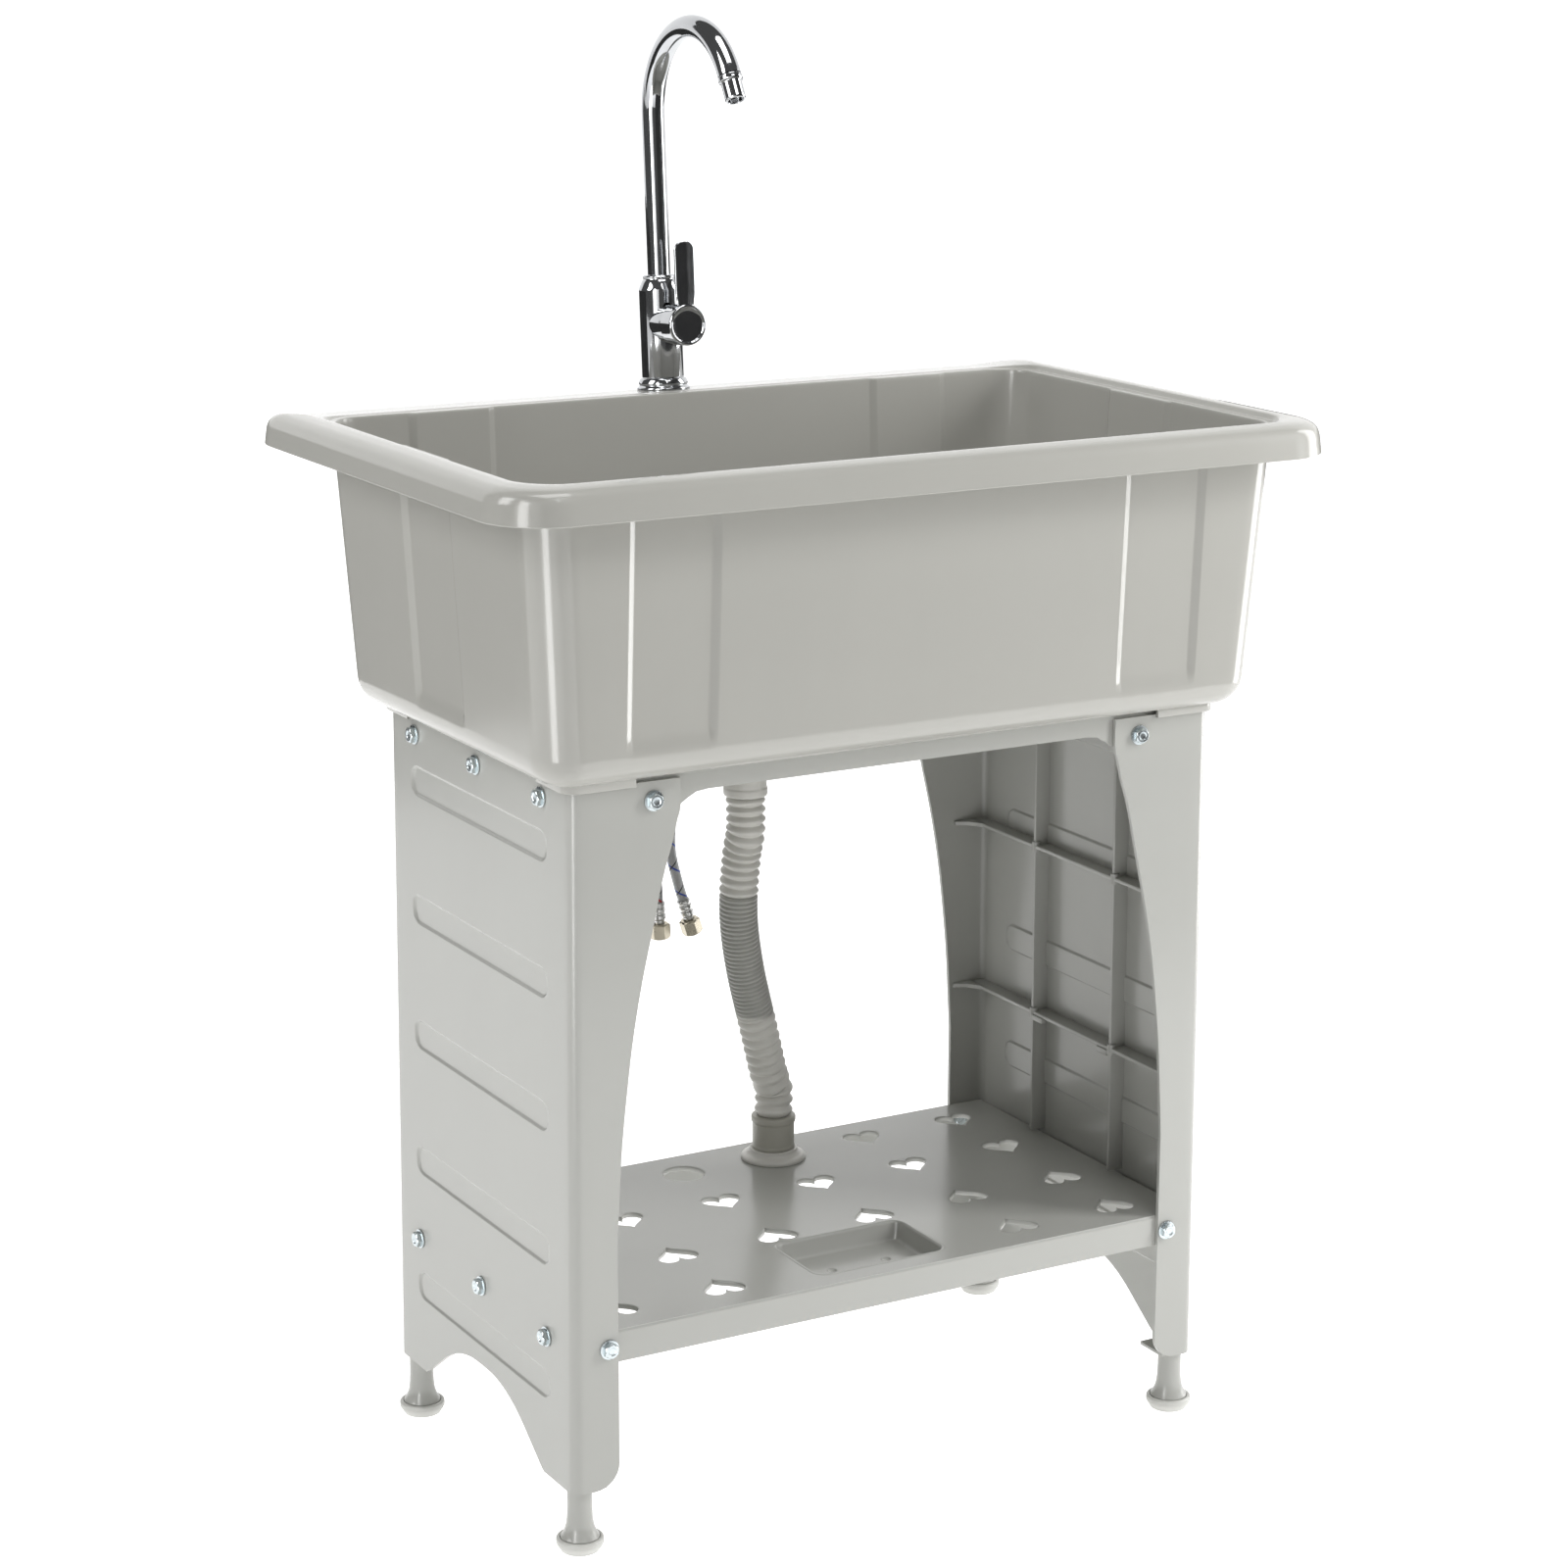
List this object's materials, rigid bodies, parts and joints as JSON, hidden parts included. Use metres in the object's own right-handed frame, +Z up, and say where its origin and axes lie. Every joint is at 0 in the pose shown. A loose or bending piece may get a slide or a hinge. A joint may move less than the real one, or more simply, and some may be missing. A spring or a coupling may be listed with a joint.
{
  "type": "laundry sink",
  "caption": "Free-standing plastic laundry sink on a bolted stand with a shelf, a gooseneck mixer tap, braided supply hoses and a corrugated drain hose.",
  "frame": {"origin": "on the floor, under the middle of the rim", "axes": "+Z up, the front of the sink faces -Y, the tap deck is at +Y, +X to the sink's right as seen from the front"},
  "size_m": [0.646, 0.44, 1.0198],
  "materials": {
    "bowl_plastic": "glossy light grey polypropylene",
    "stand_plastic": "satin light grey polypropylene",
    "foot_cups": "soft off-white",
    "bolts": "zinc plated",
    "drain_steel": "pressed stainless steel",
    "rubber": "matt black",
    "fitting_plastic": "white moulded",
    "hose_plastic": "grey moulded",
    "chrome": "mirror polished",
    "brass": "nickel-washed brass",
    "ferrule_steel": "crimped steel",
    "braid": "braided steel wire with a marker thread"
  },
  "bodies": {
    "sink": {"basin": "bowl_plastic", "upper_frame": "stand_plastic", "shelf": "stand_plastic", "right_panel": "stand_plastic", "left_panel": "stand_plastic", "foot_cup_front_left": "foot_cups", "foot_cup_front_right": "foot_cups", "foot_cup_back_left": "foot_cups", "foot_cup_back_right": "foot_cups", "bolt_left_upper_1": "bolts", "bolt_left_upper_2": "bolts", "bolt_left_upper_3": "bolts", "bolt_left_lower_1": "bolts", "bolt_left_lower_2": "bolts", "bolt_left_lower_3": "bolts", "bolt_right_upper_1": "bolts", "bolt_right_upper_2": "bolts", "bolt_right_upper_3": "bolts", "bolt_right_lower_1": "bolts", "bolt_right_lower_2": "bolts", "bolt_right_lower_3": "bolts", "bolt_front_left_upper": "bolts", "bolt_front_left_lower": "bolts", "bolt_front_right_upper": "bolts", "bolt_front_right_lower": "bolts", "bolt_back_left_upper": "bolts", "bolt_back_left_lower": "bolts", "bolt_back_right_upper": "bolts", "bolt_back_right_lower": "bolts", "drain_strainer": "drain_steel", "drain_gasket": "rubber", "tap_washer": "rubber", "drain_locknut": "fitting_plastic", "drain_slip_nut": "fitting_plastic", "drain_sleeve": "hose_plastic", "drain_hose": "hose_plastic", "hose_cuff": "hose_plastic", "shelf_flange": "hose_plastic", "tap_flange": "chrome", "tap_body": "chrome", "tap_shank": "brass", "tap_nut": "brass", "supply_tail_hot": "brass", "supply_tail_cold": "brass", "supply_ferrule_hot": "ferrule_steel", "supply_ferrule_cold": "ferrule_steel", "supply_hose_hot": "braid", "supply_hose_cold": "braid"},
    "spout": {"tap_spout": "chrome", "tap_aerator": "chrome"},
    "handle_ball": {"tap_ball_cap": "chrome"},
    "handle": {"tap_knob": "chrome", "tap_lever": "chrome"},
    "basket": {"strainer_basket": "drain_steel"},
    "hot_nut": {"supply_nut_hot": "brass"},
    "cold_nut": {"supply_nut_cold": "brass"}
  },
  "joints": [
    {"name": "spout_swivel", "type": "hinge", "parent": "sink", "child": "spout", "pos_m": [0, 0.19772, 0.82328], "axis": [0, 0.0715, 0.9974], "range_deg": [-150, 150]},
    {"name": "temperature", "type": "hinge", "parent": "sink", "child": "handle_ball", "pos_m": [0, 0.17805, 0.79361], "axis": [0, -0.9974, 0.0715], "range_deg": [-45, 45]},
    {"name": "flow", "type": "hinge", "parent": "handle_ball", "child": "handle", "pos_m": [0, 0.17805, 0.79361], "axis": [1, 0, 0], "range_deg": [0, 20]},
    {"name": "basket_lift", "type": "slide", "parent": "sink", "child": "basket", "axis": [0, 0, 1], "range_m": [0, 0.12]},
    {"name": "hot_nut_turn", "type": "hinge", "parent": "sink", "child": "hot_nut", "pos_m": [-0.01017, 0.186, 0.3464], "axis": [-0.0559, 0, 0.9984], "continuous": true},
    {"name": "cold_nut_turn", "type": "hinge", "parent": "sink", "child": "cold_nut", "pos_m": [0.01168, 0.186, 0.34543], "axis": [-0.2929, 0, 0.9562], "continuous": true}
  ]
}
